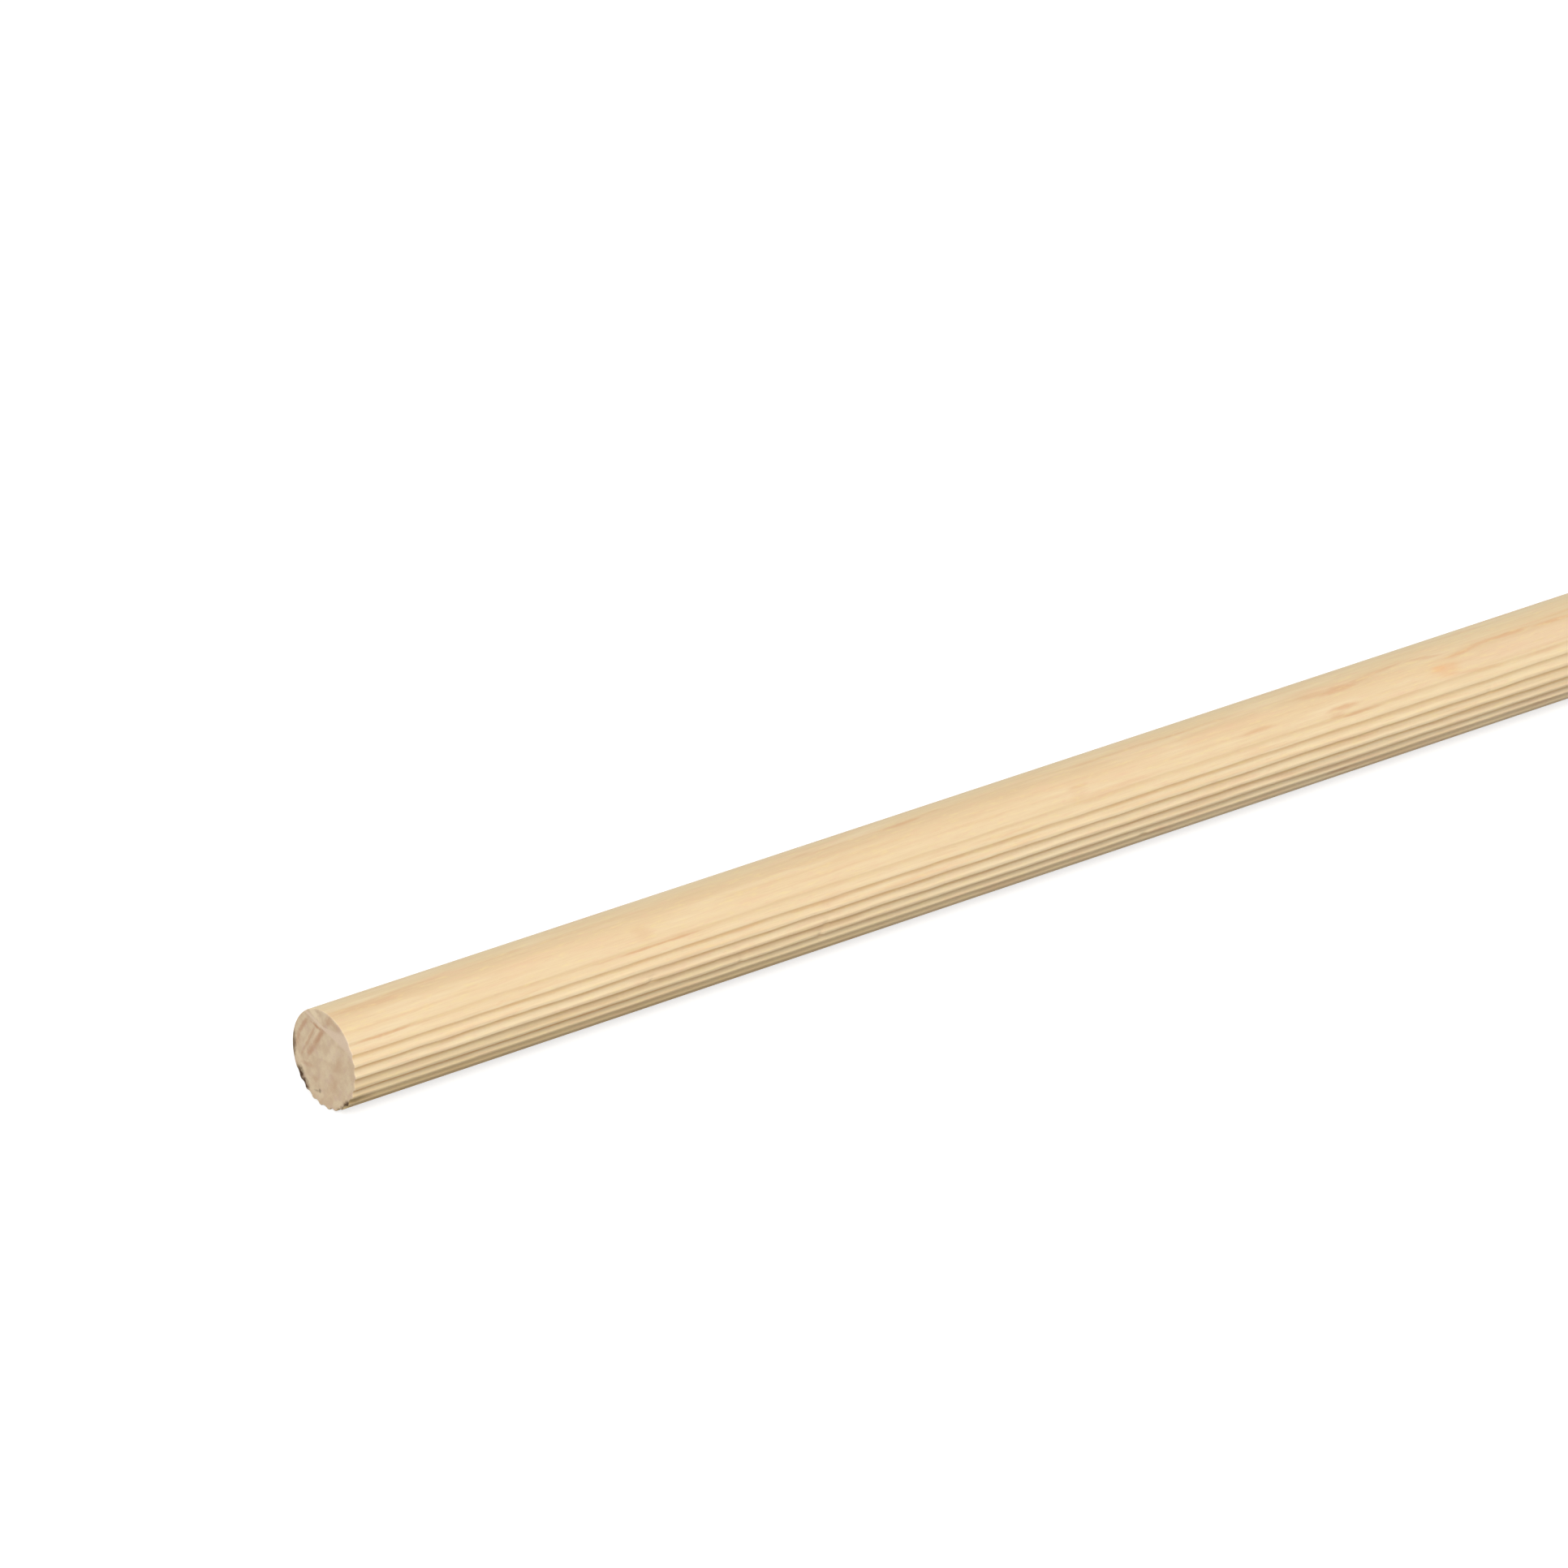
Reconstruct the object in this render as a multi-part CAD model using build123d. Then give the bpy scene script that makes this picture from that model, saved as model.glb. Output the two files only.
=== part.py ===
from build123d import *
import math
import os

os.makedirs("parts", exist_ok=True)

# A length of round softwood rod, planed to a standard diameter and sawn square at both ends.
# One half of its wall is smooth. The other half carries straight flutes, cut along the grain
# from end to end by a moulding cutter, with narrow crests left between them at the full
# diameter. The first and last flutes lie where the two cutter heads meet, so they are shallow.
#
# The rod lies along X on a flat surface. A flute faces straight down, and the rod stands on
# the two crests beside it. The fluted half faces down and to the front, which is -Y.

# Driving sizes, in millimetres and degrees
rod_diameter = 28.0
rod_length = 500.0
fluted_arc = 180.0  # round the wall, from the middle of the first flute to that of the last
flute_count = 14
crest_width = 0.8  # of the wall left between two flutes
flute_depth = 0.5  # below a straightedge laid across the two crests beside the flute
edge_flute_depth = 0.3  # the same, for the first and last flutes
resting_flute = 5  # the one that faces straight down, counted from the back of the rod

# What follows from them
rod_radius = rod_diameter / 2
flute_pitch = fluted_arc / (flute_count - 1)
crest_angle = math.degrees(crest_width / rod_radius)
flute_angle = flute_pitch - crest_angle
mouth_radius = rod_radius * math.cos(math.radians(flute_angle / 2))  # out to the straightedge
first_middle = -(resting_flute - 1) * flute_pitch


def on_section(turn, radius=rod_radius):
    """A point of the section, turned from straight down towards the front. Its plane is Y, Z."""
    across = radius * math.sin(math.radians(turn))
    down = radius * math.cos(math.radians(turn))
    return (-across, mouth_radius - down)


def flute(middle, depth):
    """The concave floor of one flute, from the crest behind it to the crest in front of it."""
    start = on_section(middle - flute_angle / 2)
    floor = on_section(middle, mouth_radius - depth)
    end = on_section(middle + flute_angle / 2)
    ThreePointArc(start, floor, end)


def wall(start, end):
    """A stretch of the round wall at the full diameter."""
    ThreePointArc(on_section(start), on_section((start + end) / 2), on_section(end))


def fluted_rod():
    """The whole rod, extruded from its section, with its length centred on the origin."""
    with BuildPart() as rod:
        with BuildSketch(Plane.YZ.offset(-rod_length / 2)):
            with BuildLine():
                for number in range(flute_count):
                    middle = first_middle + number * flute_pitch
                    at_edge = number in (0, flute_count - 1)
                    flute(middle, edge_flute_depth if at_edge else flute_depth)
                    if number < flute_count - 1:
                        wall(middle + flute_angle / 2, middle + flute_pitch - flute_angle / 2)
                last_middle = first_middle + fluted_arc
                wall(last_middle + flute_angle / 2, first_middle + 360 - flute_angle / 2)
            make_face()
        extrude(amount=rod_length)
    return rod.part


export_step(fluted_rod(), "parts/fluted_rod.step")
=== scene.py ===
import math

import bmesh
import bpy
from mathutils import Matrix, Vector, noise


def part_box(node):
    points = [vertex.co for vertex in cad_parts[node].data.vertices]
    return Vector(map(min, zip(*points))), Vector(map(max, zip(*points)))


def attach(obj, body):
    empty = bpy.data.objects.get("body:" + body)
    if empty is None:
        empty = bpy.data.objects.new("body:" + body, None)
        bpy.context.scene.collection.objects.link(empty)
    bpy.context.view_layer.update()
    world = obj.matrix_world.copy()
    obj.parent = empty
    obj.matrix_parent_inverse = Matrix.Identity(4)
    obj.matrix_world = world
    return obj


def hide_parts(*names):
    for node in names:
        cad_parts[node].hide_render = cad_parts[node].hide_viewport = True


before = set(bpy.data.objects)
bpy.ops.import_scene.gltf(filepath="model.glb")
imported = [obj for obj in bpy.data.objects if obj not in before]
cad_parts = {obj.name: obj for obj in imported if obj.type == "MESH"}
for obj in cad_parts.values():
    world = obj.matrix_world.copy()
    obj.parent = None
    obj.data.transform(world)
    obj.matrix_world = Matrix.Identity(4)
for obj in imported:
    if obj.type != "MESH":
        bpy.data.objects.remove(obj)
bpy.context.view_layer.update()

# Lengths are in metres. Turns are degrees round the rod's axis, from straight down to the front
# (-Y).
MM = 0.001

# The section that the moulder's two cutter heads leave
ROD_RADIUS = 14 * MM
FLUTES = 14
FLUTED_ARC = 180.0  # from the first flute's middle to the last one's
CREST_WIDTH = 0.8 * MM
FLUTE_DEPTH = 0.5 * MM
EDGE_FLUTE_DEPTH = 0.3 * MM  # of the first and last flute
RESTING_FLUTE = 5  # faces straight down

FLUTE_PITCH = FLUTED_ARC / (FLUTES - 1)
FLUTE_ANGLE = FLUTE_PITCH - math.degrees(CREST_WIDTH / ROD_RADIUS)
MOUTH_RADIUS = ROD_RADIUS * math.cos(math.radians(FLUTE_ANGLE / 2))
FIRST_MIDDLE = -(RESTING_FLUTE - 1) * FLUTE_PITCH
AXIS_HEIGHT = MOUTH_RADIUS

node_low, node_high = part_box("fluted_rod")
LEFT_END = node_low.x
RIGHT_END = node_high.x
ROD_LENGTH = RIGHT_END - LEFT_END

# How finely the rod is modelled
FLUTE_STEPS = 12
SMOOTH_STEPS = 28
LENGTH_STEP = 2 * MM
ARRIS_WEAR = 0.17 * MM
RIM_WEAR = 0.22 * MM
RIM_STEPS = 3
CAP_RINGS = 6
CAP_RING = 0.36 * MM
CAP_GRID = 0.8 * MM

# What drying, the moulder and the saw did to the rod
LEAN = -0.8  # degrees, of the left end
TWIST = -5.4  # degrees a metre
CREST_WANDER = 0.14 * MM
WANDERS = ((21 * MM, 0.6), (8.5 * MM, 0.4))  # how long each wander is, and its share
WALL_RIPPLE = 0.04 * MM
LONG_RIPPLE = 45 * MM
SHORT_RIPPLE = 11 * MM
SHORT_RIPPLE_SHARE = 0.35
# The step that the saw left across the left end, as shares of the rod's radius: it falls towards
# the front and fans out there
STEP_HEIGHT = 0.645
STEP_BACK_FALL = -0.29
STEP_FRONT_FALL = -0.08
STEP_HALF_WIDTH = 0.035
STEP_FANNING = 0.19
STEP_DEPTH = 0.22 * MM
SAW_PASS = 0.05 * MM  # taken off both ends, so that no mark stands out past the rod's length
CHATTER = 0.045 * MM
CHATTER_LENGTH = 6 * MM
CHATTER_PITCH = 1.1 * MM
TORN_GRAIN = 0.03 * MM
TORN_GRAIN_SIZE = 0.9 * MM
NICK_HALF_TURN = 5.5
# Nicks knocked in the crests: distance from the left end, turn, half-length along X, depth
NICKS = [
    (98 * MM, 90.0, 1.6 * MM, 0.45 * MM),
    (128 * MM, 76.2, 1.1 * MM, 0.3 * MM),
    (155 * MM, 76.2, 1.2 * MM, 0.4 * MM),
    (157 * MM, 90.0, 1.4 * MM, 0.3 * MM),
    (268 * MM, 62.3, 1.8 * MM, 0.35 * MM),
    (391 * MM, 103.9, 1.3 * MM, 0.25 * MM),
]
# Dents in the left end, coloured dark as painted shadow at its rim, as shares of the rod's
# radius: (towards the front, up), (half-length, half-width), slant of the length, strength
SHADOWED_DENTS = [
    ((-0.77, -0.55), (0.19, 0.16), -55, 1.0),
    ((-0.65, -0.71), (0.24, 0.15), -45, 1.0),
    ((-0.145, -0.70), (0.06, 0.05), 40, 0.5),
    ((-0.24, -0.73), (0.13, 0.03), 10, 0.3),
    ((0.68, -0.71), (0.22, 0.1), 44, 1.0),
    ((-0.95, 0.0), (0.38, 0.08), 87, 0.7),
]
BRUISE_DEPTH = 0.4 * MM

# How much painted shade lies on the flutes' walls under their lips, where the walls of the flute
# facing down have 1
EDGE_FLUTE_SHADE = 0.2
LEAST_FLUTE_SHADE = 0.55  # of the other flutes, reached at LEAST_FLUTE_SHADE_TURN
LEAST_FLUTE_SHADE_TURN = 115


def flute_radius(away, depth):
    """Distance from the axis to a flute's floor, which is an arc, away degrees from its middle."""
    half_width = ROD_RADIUS * math.sin(math.radians(FLUTE_ANGLE / 2))
    cutter = (half_width**2 + depth**2) / (2 * depth)
    centre = MOUTH_RADIUS - depth + cutter
    sideways = centre * math.sin(math.radians(away))
    return centre * math.cos(math.radians(away)) - math.sqrt(cutter**2 - sideways**2)


def on_section(x, turn, radius):
    down = math.radians(turn)
    return Vector((x, -radius * math.sin(down), AXIS_HEIGHT - radius * math.cos(down)))


def section_points():
    """The section once round, as (turn, radius, is a flute's lip)."""
    points = []
    for number in range(FLUTES):
        middle = FIRST_MIDDLE + number * FLUTE_PITCH
        depth = EDGE_FLUTE_DEPTH if number in (0, FLUTES - 1) else FLUTE_DEPTH
        for step in range(FLUTE_STEPS + 1):
            away = FLUTE_ANGLE * (step / FLUTE_STEPS - 0.5)
            points.append((middle + away, flute_radius(away, depth), step in (0, FLUTE_STEPS)))
        points.append((middle + FLUTE_PITCH / 2, ROD_RADIUS, False))
    start = FIRST_MIDDLE + (FLUTES - 0.5) * FLUTE_PITCH
    plain = 360 - FLUTES * FLUTE_PITCH
    for step in range(1, SMOOTH_STEPS):
        points.append((start + plain * step / SMOOTH_STEPS, ROD_RADIUS, False))
    return points


def stations():
    """Where rings of vertices lie along the rod: evenly, and closer at the ends and the nicks."""
    start = LEFT_END + RIM_WEAR
    end = RIGHT_END - RIM_WEAR
    count = round((end - start) / LENGTH_STEP)
    places = [start + (end - start) * step / count for step in range(count + 1)]
    for depth in (0.2, 0.45, 0.75, 1.1, 1.5, 2.6, 3.2):
        places.append(start + depth * MM)
        places.append(end - depth * MM)
    for along, _, half_length, _ in NICKS:
        for part in (-0.9, -0.45, 0, 0.45, 0.9):
            places.append(LEFT_END + along + part * half_length)
    return sorted(places)


def square_end(bm, face, outward):
    """Rounds the rim of a sawn end a little and draws its face in, ring by ring, to a fine grid."""
    rim_x = face.calc_center_median().x
    steps = []
    for step in range(1, RIM_STEPS + 1):
        swing = math.radians(90 * step / RIM_STEPS)
        steps.append((RIM_WEAR * (1 - math.cos(swing)), RIM_WEAR * math.sin(swing)))
    for ring in range(1, CAP_RINGS + 1):
        steps.append((RIM_WEAR + CAP_RING * ring, RIM_WEAR))
    inset = 0
    for new_inset, reach in steps:
        drawn = bmesh.ops.extrude_face_region(bm, geom=[face])
        verts = [item for item in drawn["geom"] if isinstance(item, bmesh.types.BMVert)]
        bmesh.ops.delete(bm, geom=[face], context="FACES_ONLY")
        face = next(item for item in drawn["geom"] if isinstance(item, bmesh.types.BMFace))
        factor = (ROD_RADIUS - new_inset) / (ROD_RADIUS - inset)
        about = Matrix.Translation((0, 0, -AXIS_HEIGHT))
        bmesh.ops.scale(bm, vec=(1, factor, factor), space=about, verts=verts)
        for vert in verts:
            vert.co.x = rim_x + outward * reach
        inset = new_inset
    inner = ROD_RADIUS - inset
    cells = math.ceil(2 * inner / CAP_GRID)
    grid = [face]
    for normal in ((0, 1, 0), (0, 0, 1)):
        for cell in range(1, cells):
            offset = inner * (2 * cell / cells - 1)
            place = (rim_x, offset, AXIS_HEIGHT + offset)
            edges = {edge for part in grid for edge in part.edges}
            verts = {vert for part in grid for vert in part.verts}
            parts = grid + list(edges) + list(verts)
            cut = bmesh.ops.bisect_plane(
                bm, geom=parts, plane_co=place, plane_no=normal, dist=1e-7
            )
            grid = [item for item in cut["geom"] if isinstance(item, bmesh.types.BMFace)]


def rod_blank():
    """The rod as cut: its section drawn out along X, and an end face closed at each end."""
    bm = bmesh.new()
    points = section_points()
    disc = bmesh.ops.create_circle(bm, cap_ends=True, segments=len(points), radius=ROD_RADIUS)
    lips = []
    for vert, (turn, radius, is_lip) in zip(disc["verts"], points):
        vert.co = on_section(LEFT_END + RIM_WEAR, turn, radius)
        if is_lip:
            lips.append(vert)
    bmesh.ops.bevel(
        bm, geom=lips, affect="VERTICES", offset=ARRIS_WEAR, offset_type="OFFSET",
        segments=2, profile=0.5, material=-1,
    )
    near = next(iter(bm.faces))
    drawn = bmesh.ops.extrude_face_region(bm, geom=[near])
    far_verts = [item for item in drawn["geom"] if isinstance(item, bmesh.types.BMVert)]
    far = next(item for item in drawn["geom"] if isinstance(item, bmesh.types.BMFace))
    bmesh.ops.translate(bm, verts=far_verts, vec=(ROD_LENGTH - 2 * RIM_WEAR, 0, 0))
    near = next(face for face in bm.faces if face is not far and len(face.verts) > 4)
    places = stations()
    along = []
    for edge in bm.edges:
        if abs(edge.verts[0].co.x - edge.verts[1].co.x) > ROD_LENGTH / 2:
            along.append(edge)
    bmesh.ops.subdivide_edges(bm, edges=along, cuts=len(places) - 2, use_grid_fill=True)
    spacing = (places[-1] - places[0]) / (len(places) - 1)
    for vert in bm.verts:
        vert.co.x = places[round((vert.co.x - places[0]) / spacing)]
    square_end(bm, near, -1)
    square_end(bm, far, 1)
    bmesh.ops.recalc_face_normals(bm, faces=bm.faces[:])
    return bm


def turned(point):
    """A point's turn and distance from the axis."""
    drop = AXIS_HEIGHT - point.z
    return math.degrees(math.atan2(-point.y, drop)), math.hypot(point.y, drop)


def eased(share):
    """A share, held between 0 and 1, that starts and stops gently."""
    share = min(max(share, 0), 1)
    return share * share * (3 - 2 * share)


def saw_marks(point, end):
    """How deep the saw left a point of an end face: chatter, torn grain and, at the left end, a
    step and bruises."""
    spot = Vector((end * 3, point.y / CHATTER_LENGTH, point.z / CHATTER_PITCH))
    depth = CHATTER * noise.noise(spot)
    spot = Vector((7, point.y / TORN_GRAIN_SIZE, point.z / TORN_GRAIN_SIZE))
    depth += TORN_GRAIN * noise.noise(spot)
    if end > 0:
        return depth
    across = -point.y / ROD_RADIUS
    up = (point.z - AXIS_HEIGHT) / ROD_RADIUS
    back, front = min(across, 0), max(across, 0)
    middle = STEP_HEIGHT + STEP_BACK_FALL * back + STEP_FRONT_FALL * front
    half_width = STEP_HALF_WIDTH + STEP_FANNING * front
    depth += STEP_DEPTH * eased((up - middle) / half_width / 2 + 0.5)
    for (bruise_across, bruise_up), half_size, slant, strength in SHADOWED_DENTS:
        away = Vector((across - bruise_across, up - bruise_up))
        away = away @ Matrix.Rotation(math.radians(slant), 2)
        far = math.hypot(away.x / half_size[0], away.y / half_size[1])
        far += 0.5 * noise.noise(Vector((3, across, up)) * 12)
        depth += BRUISE_DEPTH * strength * min(max(1.2 - far, 0), 0.6) / 0.6
    return depth


def shade_flute_walls(bm):
    """Marks how much painted shade each flute's wall gets: most under its upper lip, where shade
    falls, and in the lower flutes.
    """
    painted_flute_shade = bm.verts.layers.float.new("painted_flute_shade")
    for vert in bm.verts:
        turn, radius = turned(vert.co)
        number = round((turn - FIRST_MIDDLE) / FLUTE_PITCH)
        if 0 <= number < FLUTES and radius > ROD_RADIUS - 2 * FLUTE_DEPTH:
            away = (turn - FIRST_MIDDLE - number * FLUTE_PITCH) / (FLUTE_ANGLE / 2)
            away *= math.copysign(1, turn)
            lip = min(max((1.08 - away) / 0.12, 0), 1)
            share = 1 - (1 - LEAST_FLUTE_SHADE) * min(abs(turn) / LEAST_FLUTE_SHADE_TURN, 1)
            if number in (0, FLUTES - 1):
                share = EDGE_FLUTE_SHADE
            vert[painted_flute_shade] = share * eased((away + 0.1) / 0.7) * lip


def wear_rod(bm):
    """Roughens the sawn ends, twists the rod, lets its crests wander and knocks in the nicks."""
    for vert in bm.verts:
        turn, radius = turned(vert.co)
        along = vert.co.x - LEFT_END
        is_end = abs(abs(vert.co.x) - ROD_LENGTH / 2) < 1e-7
        if is_end:
            end = math.copysign(1, vert.co.x)
            vert.co.x -= end * (SAW_PASS + saw_marks(vert.co, end))
        edge = min(max(radius / ROD_RADIUS - 0.8, 0) / 0.1, 1)  # 1 at the wall, 0 inside an end
        swing = math.radians(turn)
        rounded = Vector((math.sin(swing), math.cos(swing), 0)) * 3
        sway = 0.0
        for length, share in WANDERS:
            sway += share * noise.noise(rounded * 1.7 + Vector((0, 0, along / length)))
        ripple = noise.noise(rounded * 0.6 + Vector((5, 5, along / LONG_RIPPLE)))
        short_ripple = noise.noise(rounded * 2.5 + Vector((9, 5, along / SHORT_RIPPLE)))
        ripple += SHORT_RIPPLE_SHARE * short_ripple
        depth = WALL_RIPPLE * (0.5 + 0.5 * ripple) * edge
        for place, nick_turn, half_length, nick_depth in NICKS:
            far = max(abs(along - place) / half_length, abs(turn - nick_turn) / NICK_HALF_TURN)
            if far < 1 and radius > 12 * MM:
                depth += nick_depth * (1 - far)
        new_turn = turn + LEAN + TWIST * along
        new_turn += edge * math.degrees(CREST_WANDER * 2 * sway / ROD_RADIUS)
        vert.co = on_section(vert.co.x, new_turn, radius - depth)


def add_object(name, bm, materials):
    mesh = bpy.data.meshes.new(name)
    bm.to_mesh(mesh)
    bm.free()
    for material in materials:
        mesh.materials.append(material)
    made = bpy.data.objects.new(name, mesh)
    bpy.context.scene.collection.objects.link(made)
    return made


# Shader helpers


def tone(red, green, blue):
    """A colour on the usual 0 to 255 scale, as a shader's linear one."""
    linear = []
    for part in (red, green, blue):
        share = part / 255
        linear.append(share / 12.92 if share <= 0.04045 else ((share + 0.055) / 1.055) ** 2.4)
    return (*linear, 1)


def add_node(tree, kind, values=None, **fields):
    """A shader node: fields are its own settings, values are set on or linked to its inputs."""
    made = tree.nodes.new(kind)
    for field, value in fields.items():
        setattr(made, field, value)
    for socket, value in (values or {}).items():
        if isinstance(value, bpy.types.NodeSocket):
            tree.links.new(value, made.inputs[socket])
        else:
            made.inputs[socket].default_value = value
    return made


def maths(tree, operation, *values):
    return add_node(tree, "ShaderNodeMath", dict(enumerate(values)), operation=operation).outputs[0]


def vector_maths(tree, operation, *values):
    return add_node(tree, "ShaderNodeVectorMath", dict(enumerate(values)), operation=operation)


def fade(tree, value, start, end, low=0.0, high=1.0):
    """Runs smoothly from low to high as value goes from start to end."""
    values = {"Value": value, "From Min": start, "From Max": end, "To Min": low, "To Max": high}
    return add_node(tree, "ShaderNodeMapRange", values, interpolation_type="SMOOTHSTEP").outputs[0]


def curve(tree, value, start, end, low, high, points):
    """A drawn curve of a value: points are (value, result) between start-end and low-high."""
    share = maths(tree, "DIVIDE", maths(tree, "SUBTRACT", value, start), end - start)
    made = add_node(tree, "ShaderNodeFloatCurve", {"Value": share})
    line = made.mapping.curves[0]
    for number, (place, result) in enumerate(points):
        spot = ((place - start) / (end - start), (result - low) / (high - low))
        if number < 2:
            line.points[number].location = spot
        else:
            line.points.new(*spot)
    made.mapping.update()
    return maths(tree, "MULTIPLY_ADD", made.outputs[0], high - low, low)


def grain_noise(tree, place, lengths, detail=2.0, roughness=0.5, shift=0.0):
    """Noise whose blotches are lengths long, in millimetres, along the three timber directions."""
    spot = vector_maths(tree, "DIVIDE", place, lengths).outputs[0]
    spot = vector_maths(tree, "ADD", spot, (shift, shift, shift)).outputs[0]
    values = {"Vector": spot, "Scale": 1.0, "Detail": detail, "Roughness": roughness}
    return add_node(tree, "ShaderNodeTexNoise", values).outputs[0]


def stain(tree, amount, under, over):
    """One colour laid over another by an amount from 0 to 1."""
    values = {0: amount, 6: under, 7: over}
    return add_node(tree, "ShaderNodeMix", values, data_type="RGBA").outputs[2]


def product(tree, *amounts):
    """Several amounts, from 0 to 1, multiplied together."""
    total = amounts[0]
    for amount in amounts[1:]:
        total = maths(tree, "MULTIPLY", total, amount)
    return total


# The timber: pine sawn so that its growth rings cross the rod

GRAIN_TURN = 52.3  # the rings were laid down outwards towards this turn
PITH_DISTANCE = 60.0  # from the rod's axis to the tree's heart, mm
RING_WIDTH = 2.6
RING_START = -5.3 - 0.9 * RING_WIDTH

# How far the rings drift off the rod's axis: (mm from the left end, mm outwards). The first two
# are the ends.
RING_DRIFT = [
    (0, 0), (500, -0.5), (60, 0.4), (190, 0.3), (245, 0.3), (300, 0.1), (371, -1.3), (402, -2.6),
    (450, -2),
]
RING_WOBBLE = 2.2
FINE_RING_WOBBLE = 0.4
# How dark the summer wood is: (mm outwards from the rod's axis, strength), the ends first
RING_STRENGTHS = [
    (-16, 0.5), (16, 0.8), (-10.9, 0.4), (-7.8, 0.35), (-5.3, 0.6), (-2.7, 0.25), (0, 0.35),
    (2.6, 0.6), (5.2, 0.4), (7.8, 0.75), (10.4, 0.6),
]
# The timber's own colour: (share of the way outwards, colour)
TIMBER_BANDS = [
    (0.0, tone(236, 217, 178)),
    (0.2, tone(236, 213, 171)),
    (0.36, tone(232, 204, 162)),
    (0.47, tone(237, 209, 166)),
    (0.6, tone(241, 215, 173)),
    (1.0, tone(246, 224, 184)),
]

KNOT = (413.0, 141.0)  # mm from the left end, turn
KNOT_SIZE = (36.0, 14.0)  # half-length in mm, half-turn

# Flecks of resin and summer wood in the wall:
# (mm from the left end, turn), (half-length in mm, half-turn), slant of the length, strength
FLECKS = [
    ((12, 168), (20, 6), 0, 0.4),
    ((22, 172), (6, 3), 0, 0.25),
    ((62, 176), (4, 3), 0, 0.3),
    ((158, 177), (4, 3), 0, 0.35),
    ((192, 174), (9, 3.5), 8, 0.6),
    ((203, 178), (6, 2.5), 20, 0.35),
    ((255, 173), (8, 2), 0, 0.25),
    ((285, 172), (12, 1.8), -4, 0.25),
    ((335, 162), (10, 5), -22, 0.4),
    ((343, 159.5), (9, 6), 0, 0.75),
    ((352, 162.5), (11, 5), 22, 0.45),
    ((362, 166.5), (9, 2.4), 18, 0.5),
    ((375, 163), (9, 2.4), -30, 0.5),
    ((99, 142), (4, 13), 0, 0.3),
    ((247, 138), (4, 13), 0, 0.28),
    ((248, 145), (4, 2.8), 0, 0.55),
    ((312, 141), (8, 4.5), 0, 0.5),
    ((341, 135.5), (7, 4), 0, 0.8),
    ((338, 128), (4, 5), 0, 0.5),
    ((345, 124.5), (10, 2.2), 0, 1.0),
    ((12, 126.5), (15, 2), 0, 1.0),
    ((101, 125.5), (20, 1.8), 0, 0.9),
    ((76, 73.5), (6, 2.2), 0, 0.8),
    ((263, 83), (6, 2.2), 0, 0.5),
    ((282, 72), (6, 3), 0, 0.5),
    ((372, 81), (5, 2.2), 0, 0.55),
    ((347, 95), (5, 2), 0, 0.4),
    ((344, 71), (5, 2.5), 0, 0.5),
    ((273, 57), (6, 6), 0, 1.0),
    ((339, 55), (7, 6), 0, 1.0),
    ((413, 56), (7, 6), 0, 1.0),
]
# Painted shadow where the wall meets the left end: dark patches low at the flute mouths
FLUTE_MOUTH_SHADOWS = [
    ((1, 55), (7, 8), 0, 1.0),
    ((0, 307), (2, 13), 0, 0.8),
]
# The knot's resin, and the torn grain round it
KNOT_GLOW = [
    ((376.5, 143), (4, 6), 0, 0.5),
    ((378, 139), (7, 13), 0, 0.25),
]
KNOT_RIM = [
    ((379, 138), (6, 10), 0, 0.3),
    ((387, 154), (10, 3.5), 22, 0.6),
    ((403, 158), (14, 3.5), 0, 0.7),
    ((421, 156), (13, 3.2), -6, 0.65),
    ((438, 153), (12, 3), -12, 0.4),
    ((391, 126.5), (11, 3), -24, 0.5),
    ((412, 123.5), (10, 2.6), 0, 0.55),
    ((434, 127), (12, 2.6), 14, 0.4),
    ((449, 141), (6, 11), 0, 0.3),
]


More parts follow.
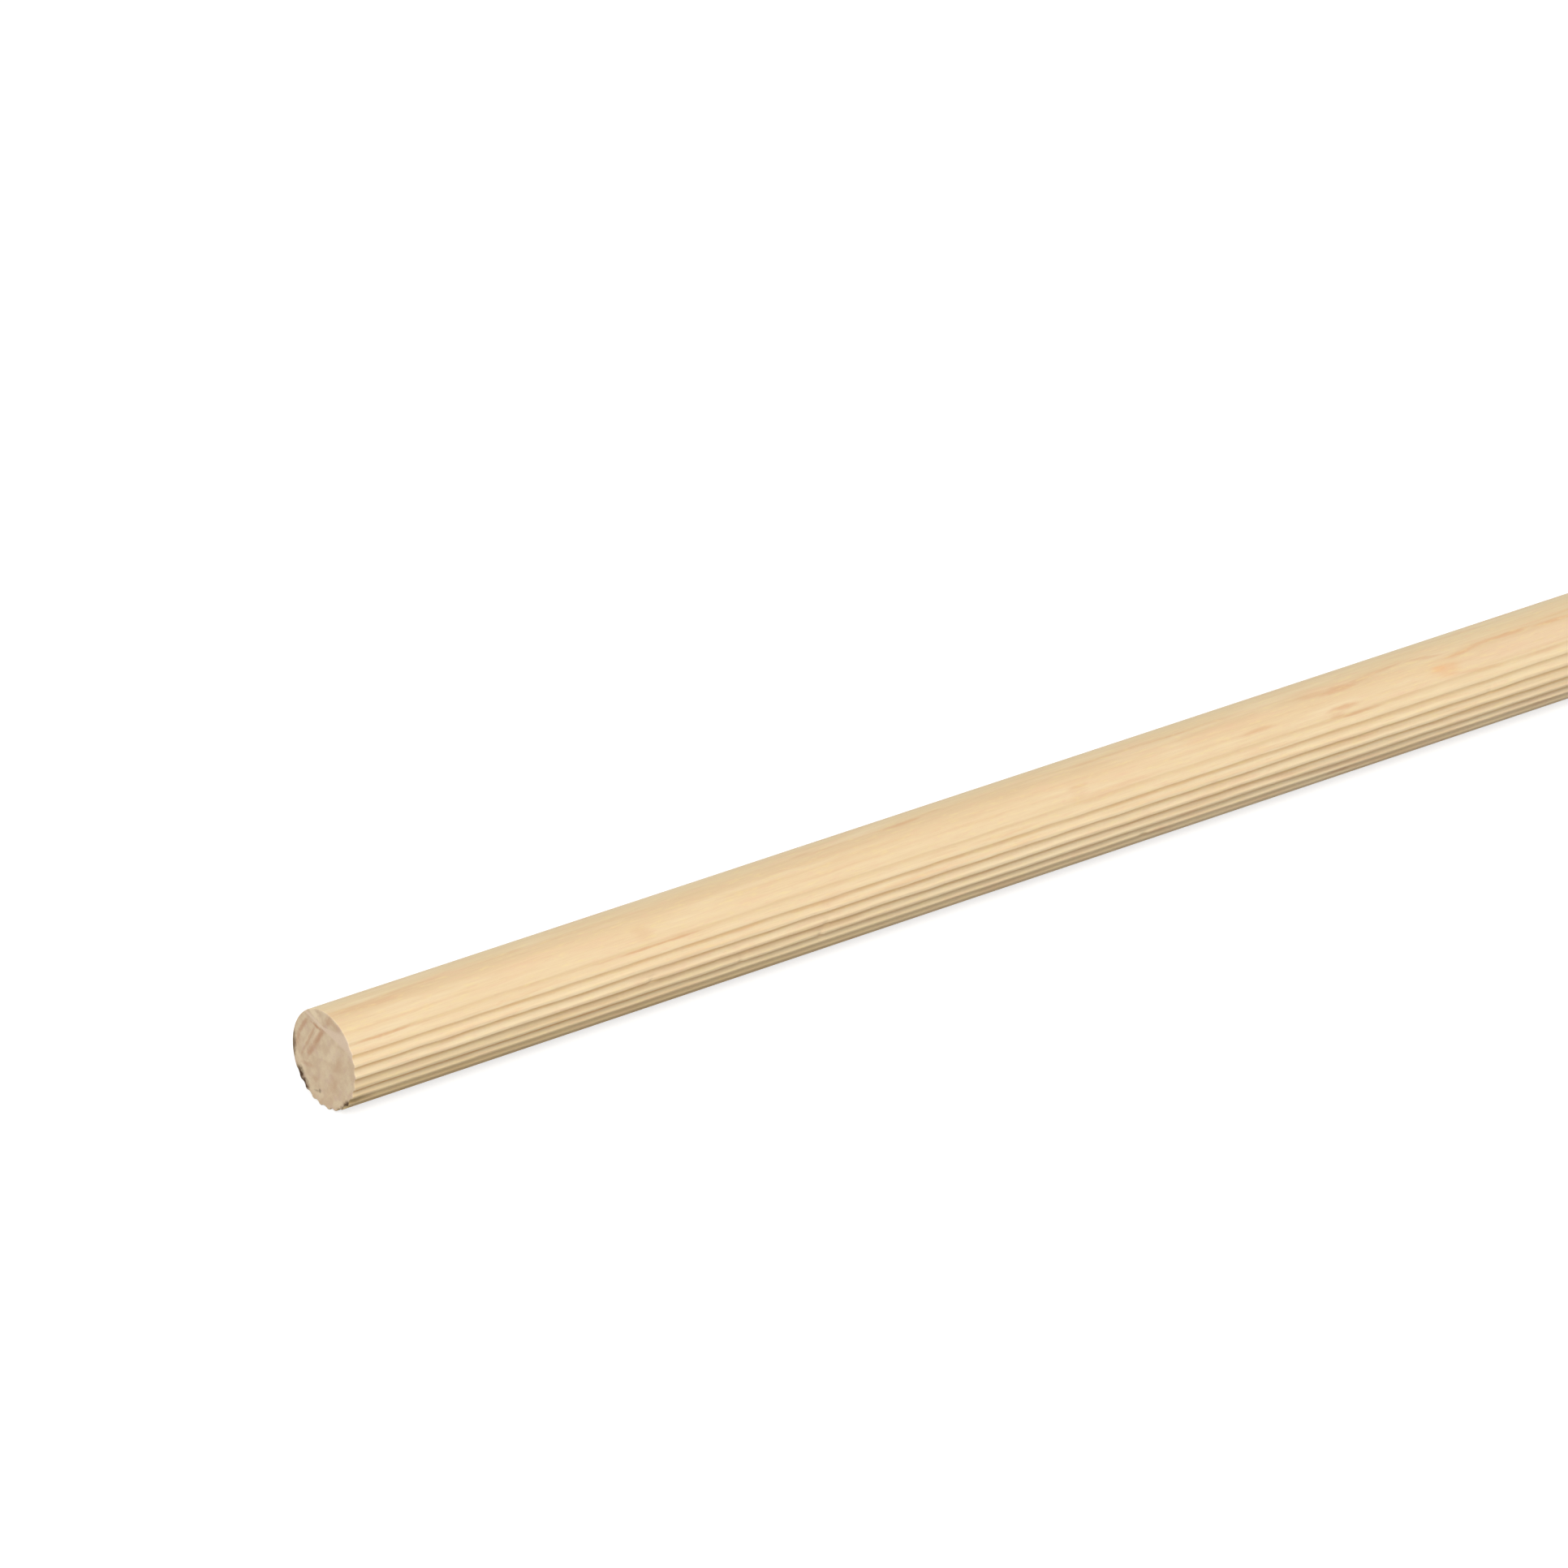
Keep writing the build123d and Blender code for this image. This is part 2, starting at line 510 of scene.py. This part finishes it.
class Timber:
    """The pattern that the wall and the sawn ends share, so that the rings run through."""

    def __init__(self, tree):
        place = add_node(tree, "ShaderNodeTexCoord").outputs["Object"]
        values = {
            "Vector": place,
            "Location": (LEFT_END, 0, AXIS_HEIGHT),
            "Rotation": (-math.radians(90 + GRAIN_TURN), 0, 0),
            "Scale": (MM, MM, MM),
        }
        self.place = add_node(tree, "ShaderNodeMapping", values, vector_type="TEXTURE").outputs[0]
        parts = add_node(tree, "ShaderNodeSeparateXYZ", {0: self.place})
        self.along, outward, sideways = parts.outputs
        reach = maths(tree, "ADD", outward, PITH_DISTANCE)
        squares = maths(tree, "MULTIPLY_ADD", reach, reach, maths(tree, "POWER", sideways, 2))
        from_heart = maths(tree, "SUBTRACT", maths(tree, "SQRT", squares), PITH_DISTANCE)
        axes = add_node(tree, "ShaderNodeSeparateXYZ", {0: place})
        drop = maths(tree, "SUBTRACT", AXIS_HEIGHT, axes.outputs[2])
        swing = maths(tree, "ARCTAN2", maths(tree, "MULTIPLY", axes.outputs[1], -1), drop)
        self.turn = maths(tree, "FLOORED_MODULO", maths(tree, "DEGREES", swing), 360)
        self.spot = add_node(tree, "ShaderNodeCombineXYZ", {0: self.along, 1: self.turn}).outputs[0]
        self.across = maths(tree, "DIVIDE", axes.outputs[1], -ROD_RADIUS)
        self.up = maths(tree, "DIVIDE", drop, -ROD_RADIUS)
        face_spot = add_node(tree, "ShaderNodeCombineXYZ", {0: self.across, 1: self.up})
        self.face_spot = face_spot.outputs[0]
        drift = curve(tree, self.along, 0, 500, -6, 6, RING_DRIFT)
        wobble = grain_noise(tree, self.place, (38, 22, 22), detail=2)
        wobble = maths(tree, "MULTIPLY", maths(tree, "SUBTRACT", wobble, 0.5), RING_WOBBLE)
        fine = grain_noise(tree, self.place, (9, 5, 5), detail=2, shift=4)
        fine = maths(tree, "MULTIPLY", maths(tree, "SUBTRACT", fine, 0.5), FINE_RING_WOBBLE)
        depth = maths(tree, "ADD", from_heart, drift)
        depth = maths(tree, "ADD", depth, maths(tree, "ADD", wobble, fine))
        self.depth = depth
        rings = maths(tree, "DIVIDE", maths(tree, "SUBTRACT", depth, RING_START), RING_WIDTH)
        part = maths(tree, "FRACT", rings)
        self.summer_wood = product(tree, fade(tree, part, 0.35, 0.78), fade(tree, part, 1.0, 0.78))
        self.ring_strength = curve(tree, depth, -16, 16, 0, 1, RING_STRENGTHS)


def flecks(tree, timber, spot, marks):
    """Every mark's soft oval, the strongest one at each spot."""
    sway = grain_noise(tree, timber.place, (6, 1.2, 1.2), detail=2, shift=2)
    sway = maths(tree, "MULTIPLY", maths(tree, "SUBTRACT", sway, 0.5), 1.1)
    total = None
    for place, half_size, slant, strength in marks:
        values = {
            "Vector": spot,
            "Location": (*place, 0),
            "Rotation": (0, 0, math.radians(slant)),
            "Scale": (*half_size, 1),
        }
        away = add_node(tree, "ShaderNodeMapping", values, vector_type="TEXTURE").outputs[0]
        away = maths(tree, "ADD", vector_maths(tree, "LENGTH", away).outputs["Value"], sway)
        mark = fade(tree, away, 1.15, 0.2, 0.0, strength)
        total = mark if total is None else maths(tree, "MAXIMUM", total, mark)
    return total


def new_material(name):
    material = bpy.data.materials.new(name)
    material.use_nodes = True
    tree = material.node_tree
    return material, tree, tree.nodes["Principled BSDF"]


KNIFE_PITCH = 1.7  # of the moulder's faint knife marks, mm
WALL_BUMP = 0.018 * MM
END_BUMP = 0.05 * MM

# Soft patches of colour in the wall: ((lengths along the timber's three directions in mm, detail,
# roughness, shift), (noise where it starts, where it is full, strength), colour)
BROAD_PATCHES = [
    (((26, 4, 4), 3, 0.55, 0), (0.5, 0.72, 0.55), tone(240, 205, 166)),
    (((40, 5, 5), 2, 0.5, 9), (0.52, 0.75, 0.5), tone(246, 226, 188)),
]
FINE_PATCHES = [
    (((5, 1.1, 1.1), 3, 0.6, 21), (0.5, 0.74, 0.3), tone(240, 198, 164)),
    (((4, 0.9, 0.9), 3, 0.6, 27), (0.5, 0.74, 0.3), tone(248, 228, 160)),
]
# Long bands of the wall: (turn of the middle, half-turn where it ends, where it is full),
# (mm from the left end where it starts, where it is full, strength)
DULL_CREST = (80, 7, 3), (260, 20, 0.28)
# the band near the left end where the flute walls' painted shade is deepened
SHADED_FLUTE_BAND = (74, 9, 5), (170, 40, 0.8)
SAPPY_WALL = (112, 18, 8), (270, 430, 0.4)

# The wall's colours
SUMMER_WOOD = tone(224, 180, 134)
FLECK = tone(216, 156, 112)
KNOT_HEART = tone(242, 212, 180)
KNOT_RING = tone(222, 158, 110)
KNOT_RESIN = tone(244, 184, 128)
# painted shadow at the flute mouths by the left end
MOUTH_SHADOW = tone(116, 98, 70)
# painted shade for the flute walls under their lips
FLUTE_SHADE_TONE = tone(241, 199, 142)
# painted shade for the underside
UNDERSIDE_SHADE = tone(224, 193, 132)
# painted shade along the bottom
BOTTOM_SHADE = tone(186, 156, 106)
DULLED = tone(205, 178, 126)
# deeper painted shade for the flute walls near the left end
DEEPER_FLUTE_SHADE = tone(232, 170, 96)
# painted light that lifts the flute walls' painted shade
FLUTE_FILL_LIGHT = tone(252, 216, 160)
SAPPY = tone(248, 229, 188)
STREAK = tone(206, 164, 116)
FIBRE = tone(196, 150, 100)
RESIN_DUCT = tone(196, 148, 100)


def timber_tone(tree, depth):
    """The timber's own colour, from the grey-beige towards the heart to cream-yellow outwards."""
    share = maths(tree, "DIVIDE", maths(tree, "ADD", depth, 14), 28)
    made = add_node(tree, "ShaderNodeValToRGB", {0: share})
    made.color_ramp.interpolation = "EASE"
    stops = made.color_ramp.elements
    for number, (place, colour) in enumerate(TIMBER_BANDS):
        stop = stops[number] if number < 2 else stops.new(place)
        stop.position = place
        stop.color = colour
    return made.outputs[0]


def patches(tree, timber, colour, kinds):
    """Lays soft patches over a colour, one kind after another."""
    for (lengths, detail, roughness, shift), (start, full, strength), over in kinds:
        cloud = grain_noise(tree, timber.place, lengths, detail, roughness, shift)
        colour = stain(tree, fade(tree, cloud, start, full, 0, strength), colour, over)
    return colour


def band(tree, timber, turns, lengths):
    """How far a spot lies in a long band of the wall."""
    middle, turn_end, turn_full = turns
    away = maths(tree, "ABSOLUTE", maths(tree, "SUBTRACT", timber.turn, middle))
    start, full, strength = lengths
    lasting = fade(tree, timber.along, start, full, 0, strength)
    return product(tree, fade(tree, away, turn_end, turn_full), lasting)


def grown_colour(tree, timber):
    """The wall's colour as it grew: bands, patches, rings, flecks and the knot."""
    colour = patches(tree, timber, timber_tone(tree, timber.depth), BROAD_PATCHES)
    broken = grain_noise(tree, timber.place, (50, 2.5, 6), detail=3, shift=3)
    broken = fade(tree, broken, 0.4, 0.66, 0.06, 0.6)
    rings = product(tree, timber.summer_wood, timber.ring_strength, broken)
    colour = stain(tree, rings, colour, SUMMER_WOOD)
    marks = product(tree, flecks(tree, timber, timber.spot, FLECKS), 0.6)
    colour = stain(tree, marks, colour, FLECK)
    away = vector_maths(tree, "SUBTRACT", timber.spot, (*KNOT, 0)).outputs[0]
    away = vector_maths(tree, "DIVIDE", away, (*KNOT_SIZE, 1)).outputs[0]
    away = vector_maths(tree, "LENGTH", away).outputs["Value"]
    colour = stain(tree, fade(tree, away, 1.1, 0.5, 0, 0.35), colour, KNOT_HEART)
    rim = product(tree, flecks(tree, timber, timber.spot, KNOT_RIM), 0.6)
    colour = stain(tree, rim, colour, KNOT_RING)
    return stain(tree, flecks(tree, timber, timber.spot, KNOT_GLOW), colour, KNOT_RESIN)


def worked_colour(tree, timber, colour):
    """The wall's colour with what the cutters and damp did to it, with painted shadow by the left
    end, painted shade under the flutes' lips and underneath, and painted light in the lower flutes.
    """
    # Painted shadow: dark patches at the flute mouths where the wall meets the left end
    colour = stain(tree, flecks(tree, timber, timber.spot, FLUTE_MOUTH_SHADOWS), colour, MOUTH_SHADOW)
    uneven = grain_noise(tree, timber.place, (11, 1.5, 1.5), detail=3, shift=31)
    # Painted shade on the flute walls under each lip, varied a little along the grain
    painted_flute_shade = add_node(tree, "ShaderNodeAttribute", attribute_name="painted_flute_shade").outputs["Fac"]
    painted_flute_shade = product(tree, painted_flute_shade, fade(tree, uneven, 0.3, 0.7, 0.65, 1.35))
    colour = stain(tree, painted_flute_shade, colour, FLUTE_SHADE_TONE)
    # Painted shade: darker and warmer towards the underside, fading out by 400 mm from the left end
    under = fade(tree, timber.up, -0.12, -0.7, 0, 0.5)
    under = product(tree, under, fade(tree, timber.along, 0, 400, 1, 0))
    colour = stain(tree, under, colour, UNDERSIDE_SHADE)
    # Painted shade: darker again along the bottom of the rod, fading out by 260 mm from the left
    # end
    bottom_shade = fade(tree, timber.up, -0.55, -0.8, 0, 0.35)
    bottom_shade = product(tree, bottom_shade, fade(tree, timber.along, 60, 260, 1, 0))
    colour = stain(tree, bottom_shade, colour, BOTTOM_SHADE)
    colour = stain(tree, band(tree, timber, *DULL_CREST), colour, DULLED)
    # Painted shade: deepens the flute walls' painted shade near the left end
    deeper_flute_shade = product(tree, band(tree, timber, *SHADED_FLUTE_BAND), painted_flute_shade)
    colour = stain(tree, deeper_flute_shade, colour, DEEPER_FLUTE_SHADE)
    # Painted light: a paler tone lifts the painted shade in the lower flutes towards the right end
    low_flutes = fade(tree, timber.turn, 106, 84)
    right_part = fade(tree, timber.along, 240, 400)
    painted_fill_light = product(tree, fade(tree, painted_flute_shade, 0.1, 0.6), right_part, low_flutes)
    colour = stain(tree, painted_fill_light, colour, FLUTE_FILL_LIGHT)
    return stain(tree, band(tree, timber, *SAPPY_WALL), colour, SAPPY)


def planed_pine():
    """The wall as the cutters left it: pale and close-grained, with faint rings and one knot."""
    material, tree, shader = new_material("planed_pine")
    timber = Timber(tree)
    colour = worked_colour(tree, timber, grown_colour(tree, timber))
    colour = patches(tree, timber, colour, FINE_PATCHES)
    streak = grain_noise(tree, timber.place, (22, 0.8, 0.8), detail=4, roughness=0.6, shift=1)
    fibre = grain_noise(tree, timber.place, (7, 0.22, 0.22), detail=3, roughness=0.6, shift=5)
    duct = grain_noise(tree, timber.place, (5, 0.28, 0.28), detail=0, shift=17)
    colour = stain(tree, fade(tree, streak, 0.35, 0.75, 0, 0.1), colour, STREAK)
    colour = stain(tree, fade(tree, fibre, 0.4, 0.75, 0, 0.1), colour, FIBRE)
    colour = stain(tree, fade(tree, duct, 0.76, 0.88, 0, 0.16), colour, RESIN_DUCT)
    tree.links.new(colour, shader.inputs["Base Color"])
    tree.links.new(fade(tree, streak, 0.3, 0.7, 0.52, 0.68), shader.inputs["Roughness"])
    shader.inputs["Specular IOR Level"].default_value = 0.3
    wave = maths(tree, "SINE", maths(tree, "MULTIPLY", timber.along, 2 * math.pi / KNIFE_PITCH))
    height = maths(tree, "MULTIPLY_ADD", wave, 0.12, maths(tree, "MULTIPLY", fibre, 0.8))
    height = maths(tree, "MULTIPLY_ADD", streak, 1.2, height)
    values = {"Strength": 1.0, "Distance": WALL_BUMP, "Height": height}
    bump = add_node(tree, "ShaderNodeBump", values)
    tree.links.new(bump.outputs[0], shader.inputs["Normal"])
    return material


# Marks on the left end, given as the shadowed dents are
RING_STAINS = [
    ((-0.25, 0.27), (0.7, 0.1), 55, 0.5),
    ((-0.14, 0.42), (0.36, 0.085), 56, 0.75),
    ((-0.42, 0.04), (0.26, 0.09), 52, 0.65),
    ((-0.47, 0.26), (0.6, 0.05), 59, 0.5),
    ((-0.67, 0.45), (0.36, 0.07), 55, 0.6),
    ((-0.82, 0.15), (0.25, 0.08), 65, 0.5),
    ((-0.22, 0.61), (0.2, 0.045), -12, 0.85),
    ((-0.29, -0.49), (0.13, 0.08), 10, 0.2),
    ((0.17, 0.86), (0.17, 0.1), 55, 0.5),
    ((0.36, 0.83), (0.3, 0.08), -14, 0.25),
    ((0.47, 0.02), (0.6, 0.16), 65, 0.22),
    ((0.27, -0.42), (0.45, 0.16), 68, 0.25),
    ((-0.52, -0.28), (0.26, 0.07), 5, 0.35),
]
PALE_STAINS = [
    ((-0.26, 0.84), (0.3, 0.1), -24, 0.9),
    ((-0.2, 0.71), (0.24, 0.045), -15, 0.7),
    ((-0.45, 0.34), (0.3, 0.035), 58, 0.5),
    ((-0.26, 0.40), (0.26, 0.05), 58, 0.6),
    ((0.28, 0.26), (0.6, 0.12), 62, 0.35),
    ((-0.05, -0.33), (0.45, 0.1), 82, 0.3),
    ((-0.73, -0.28), (0.24, 0.09), -50, 0.6),
]

# The sawn ends' colours
SAWN_DULL = tone(218, 193, 161)
SAWN_BRIGHT = tone(229, 208, 175)
SAWN_VIOLET = tone(218, 190, 168)
SAWN_RING = tone(200, 150, 120)
SAWN_CREAM = tone(243, 222, 188)
SAWN_RED = tone(197, 150, 118)
# partly painted highlight for the saw step's upward slope
SAWN_STEP_LIGHT = tone(234, 210, 184)
# painted shadow in the dents at the left end's rim
SAWN_SHADOW = tone(84, 62, 42)
SAWN_PORE = tone(170, 136, 104)


def sawn_pine():
    """An end face: matt end grain with pores and ring lines and, at the left end, its stains,
    painted shadow at its rim and a partly painted highlight on the saw's step.
    """
    material, tree, shader = new_material("sawn_pine")
    timber = Timber(tree)
    left = fade(tree, timber.along, 300, 50)
    blotch = grain_noise(tree, timber.place, (4, 3.2, 3.2), detail=2, roughness=0.5)
    colour = stain(tree, fade(tree, blotch, 0.35, 0.65), SAWN_DULL, SAWN_BRIGHT)
    violet = grain_noise(tree, timber.place, (4, 3, 3), detail=2, shift=8)
    colour = stain(tree, fade(tree, violet, 0.5, 0.7, 0, 0.6), colour, SAWN_VIOLET)
    broken = grain_noise(tree, timber.place, (4, 2, 5), detail=2, shift=3)
    broken = fade(tree, broken, 0.35, 0.6, 0.15, 0.75)
    fainter = fade(tree, left, 0, 1, 0.8, 0.25)
    rings = product(tree, timber.summer_wood, timber.ring_strength, broken, fainter)
    colour = stain(tree, rings, colour, SAWN_RING)
    for marks, over in ((PALE_STAINS, SAWN_CREAM), (RING_STAINS, SAWN_RED)):
        amount = product(tree, flecks(tree, timber, timber.face_spot, marks), left)
        colour = stain(tree, amount, colour, over)
    # The saw's step is real; its paler tone adds a painted highlight on the slope, which faces up
    step = product(tree, saw_step(tree, timber), left, 0.85)
    colour = stain(tree, step, colour, SAWN_STEP_LIGHT)
    # Painted shadow: the dents in the left end coloured dark, as shadow at its rim
    painted_rim_shadow = product(tree, flecks(tree, timber, timber.face_spot, SHADOWED_DENTS), left)
    colour = stain(tree, painted_rim_shadow, colour, SAWN_SHADOW)
    pore = grain_noise(tree, timber.place, (2, 0.3, 0.3), detail=2, roughness=0.6, shift=5)
    colour = stain(tree, fade(tree, pore, 0.5, 0.8, 0, 0.25), colour, SAWN_PORE)
    tree.links.new(colour, shader.inputs["Base Color"])
    shader.inputs["Roughness"].default_value = 0.85
    shader.inputs["Specular IOR Level"].default_value = 0.15
    bump = add_node(tree, "ShaderNodeBump", {"Strength": 1.0, "Distance": END_BUMP, "Height": pore})
    tree.links.new(bump.outputs[0], shader.inputs["Normal"])
    return material


def saw_step(tree, timber):
    """How far a spot of the left end lies on the slope of the saw's step, 0 to 1."""
    back = maths(tree, "MINIMUM", timber.across, 0)
    front = maths(tree, "MAXIMUM", timber.across, 0)
    middle = maths(tree, "MULTIPLY_ADD", back, STEP_BACK_FALL, STEP_HEIGHT)
    middle = maths(tree, "MULTIPLY_ADD", front, STEP_FRONT_FALL, middle)
    half_width = maths(tree, "MULTIPLY_ADD", front, STEP_FANNING, STEP_HALF_WIDTH)
    away = maths(tree, "DIVIDE", maths(tree, "SUBTRACT", timber.up, middle), half_width)
    return fade(tree, maths(tree, "ABSOLUTE", away), 1.25, 0.6)


bm = rod_blank()
bm.normal_update()
for face in bm.faces:
    face.smooth = True
    face.material_index = 1 if abs(face.normal.x) > 0.5 else 0
shade_flute_walls(bm)
wear_rod(bm)
piece = add_object("pine_rod", bm, [planed_pine(), sawn_pine()])
piece.data.set_sharp_from_angle(angle=math.radians(50))
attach(piece, "root")
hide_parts("fluted_rod")

# Camera: looks down on the left end from the front
CAMERA_PLACE = (-2.1954, -2.6773, 1.6094)
CAMERA_AIM = (-0.0968, 0, 0.05014)

camera_data = bpy.data.cameras.new("camera")
camera_data.lens = 321.6
camera_data.sensor_width = 36
camera_data.clip_start = 0.1
camera_data.clip_end = 50
camera = bpy.data.objects.new("camera", camera_data)
bpy.context.scene.collection.objects.link(camera)
camera.location = CAMERA_PLACE
camera.rotation_mode = "QUATERNION"
look = Vector(CAMERA_AIM) - Vector(CAMERA_PLACE)
camera.rotation_quaternion = look.to_track_quat("-Z", "Y")
bpy.context.scene.camera = camera

# Floor: it looks white to the camera, and lights the rod no more than a grey one would
FLOOR_GLOW = 0.75
FLOOR_GREY = (0.4, 0.4, 0.4, 1)
FLOOR_DROP = 0.04 * MM  # keeps it clear of the crests that the rod stands on
ROOM_LIGHT = 0.45

bm = bmesh.new()
bmesh.ops.create_grid(bm, x_segments=1, y_segments=1, size=20)
floor_material = bpy.data.materials.new("floor")
floor_material.use_nodes = True
tree = floor_material.node_tree
tree.nodes.clear()
path = add_node(tree, "ShaderNodeLightPath")
seen = maths(tree, "MAXIMUM", path.outputs["Is Camera Ray"], path.outputs["Is Glossy Ray"])
seen = maths(tree, "MAXIMUM", seen, path.outputs["Is Transmission Ray"])
glow = add_node(tree, "ShaderNodeEmission", {"Strength": maths(tree, "MULTIPLY", seen, FLOOR_GLOW)})
diffuse = add_node(tree, "ShaderNodeBsdfDiffuse", {"Color": FLOOR_GREY})
pale = add_node(tree, "ShaderNodeAddShader", {0: diffuse.outputs[0], 1: glow.outputs[0]})
add_node(tree, "ShaderNodeOutputMaterial", {"Surface": pale.outputs[0]})
floor = add_object("floor", bm, [floor_material])
floor.location.z = -FLOOR_DROP

world = bpy.data.worlds.new("world")
bpy.context.scene.world = world
world.use_nodes = True
room = world.node_tree.nodes["Background"]
room.inputs["Color"].default_value = (1, 1, 1, 1)
room.inputs["Strength"].default_value = ROOM_LIGHT


def softbox(name, place, size, power):
    lamp = bpy.data.lights.new(name, "AREA")
    lamp.shape = "RECTANGLE"
    lamp.size, lamp.size_y = size
    lamp.energy = power
    lit = bpy.data.objects.new(name, lamp)
    bpy.context.scene.collection.objects.link(lit)
    lit.location = place
    lit.rotation_mode = "QUATERNION"
    lit.rotation_quaternion = (-Vector(place)).to_track_quat("-Z", "Y")


softbox("key", (-5.6, -5.5, 6.5), (4.4, 4.4), 760)
# two weak ones, for the back of the wall and the right end
softbox("back", (0.5, 6.9, 0.6), (4.0, 1.1), 92)
softbox("end", (7.0, 0.0, 0.6), (1.2, 1.2), 130)

bpy.context.scene.view_settings.view_transform = "Standard"
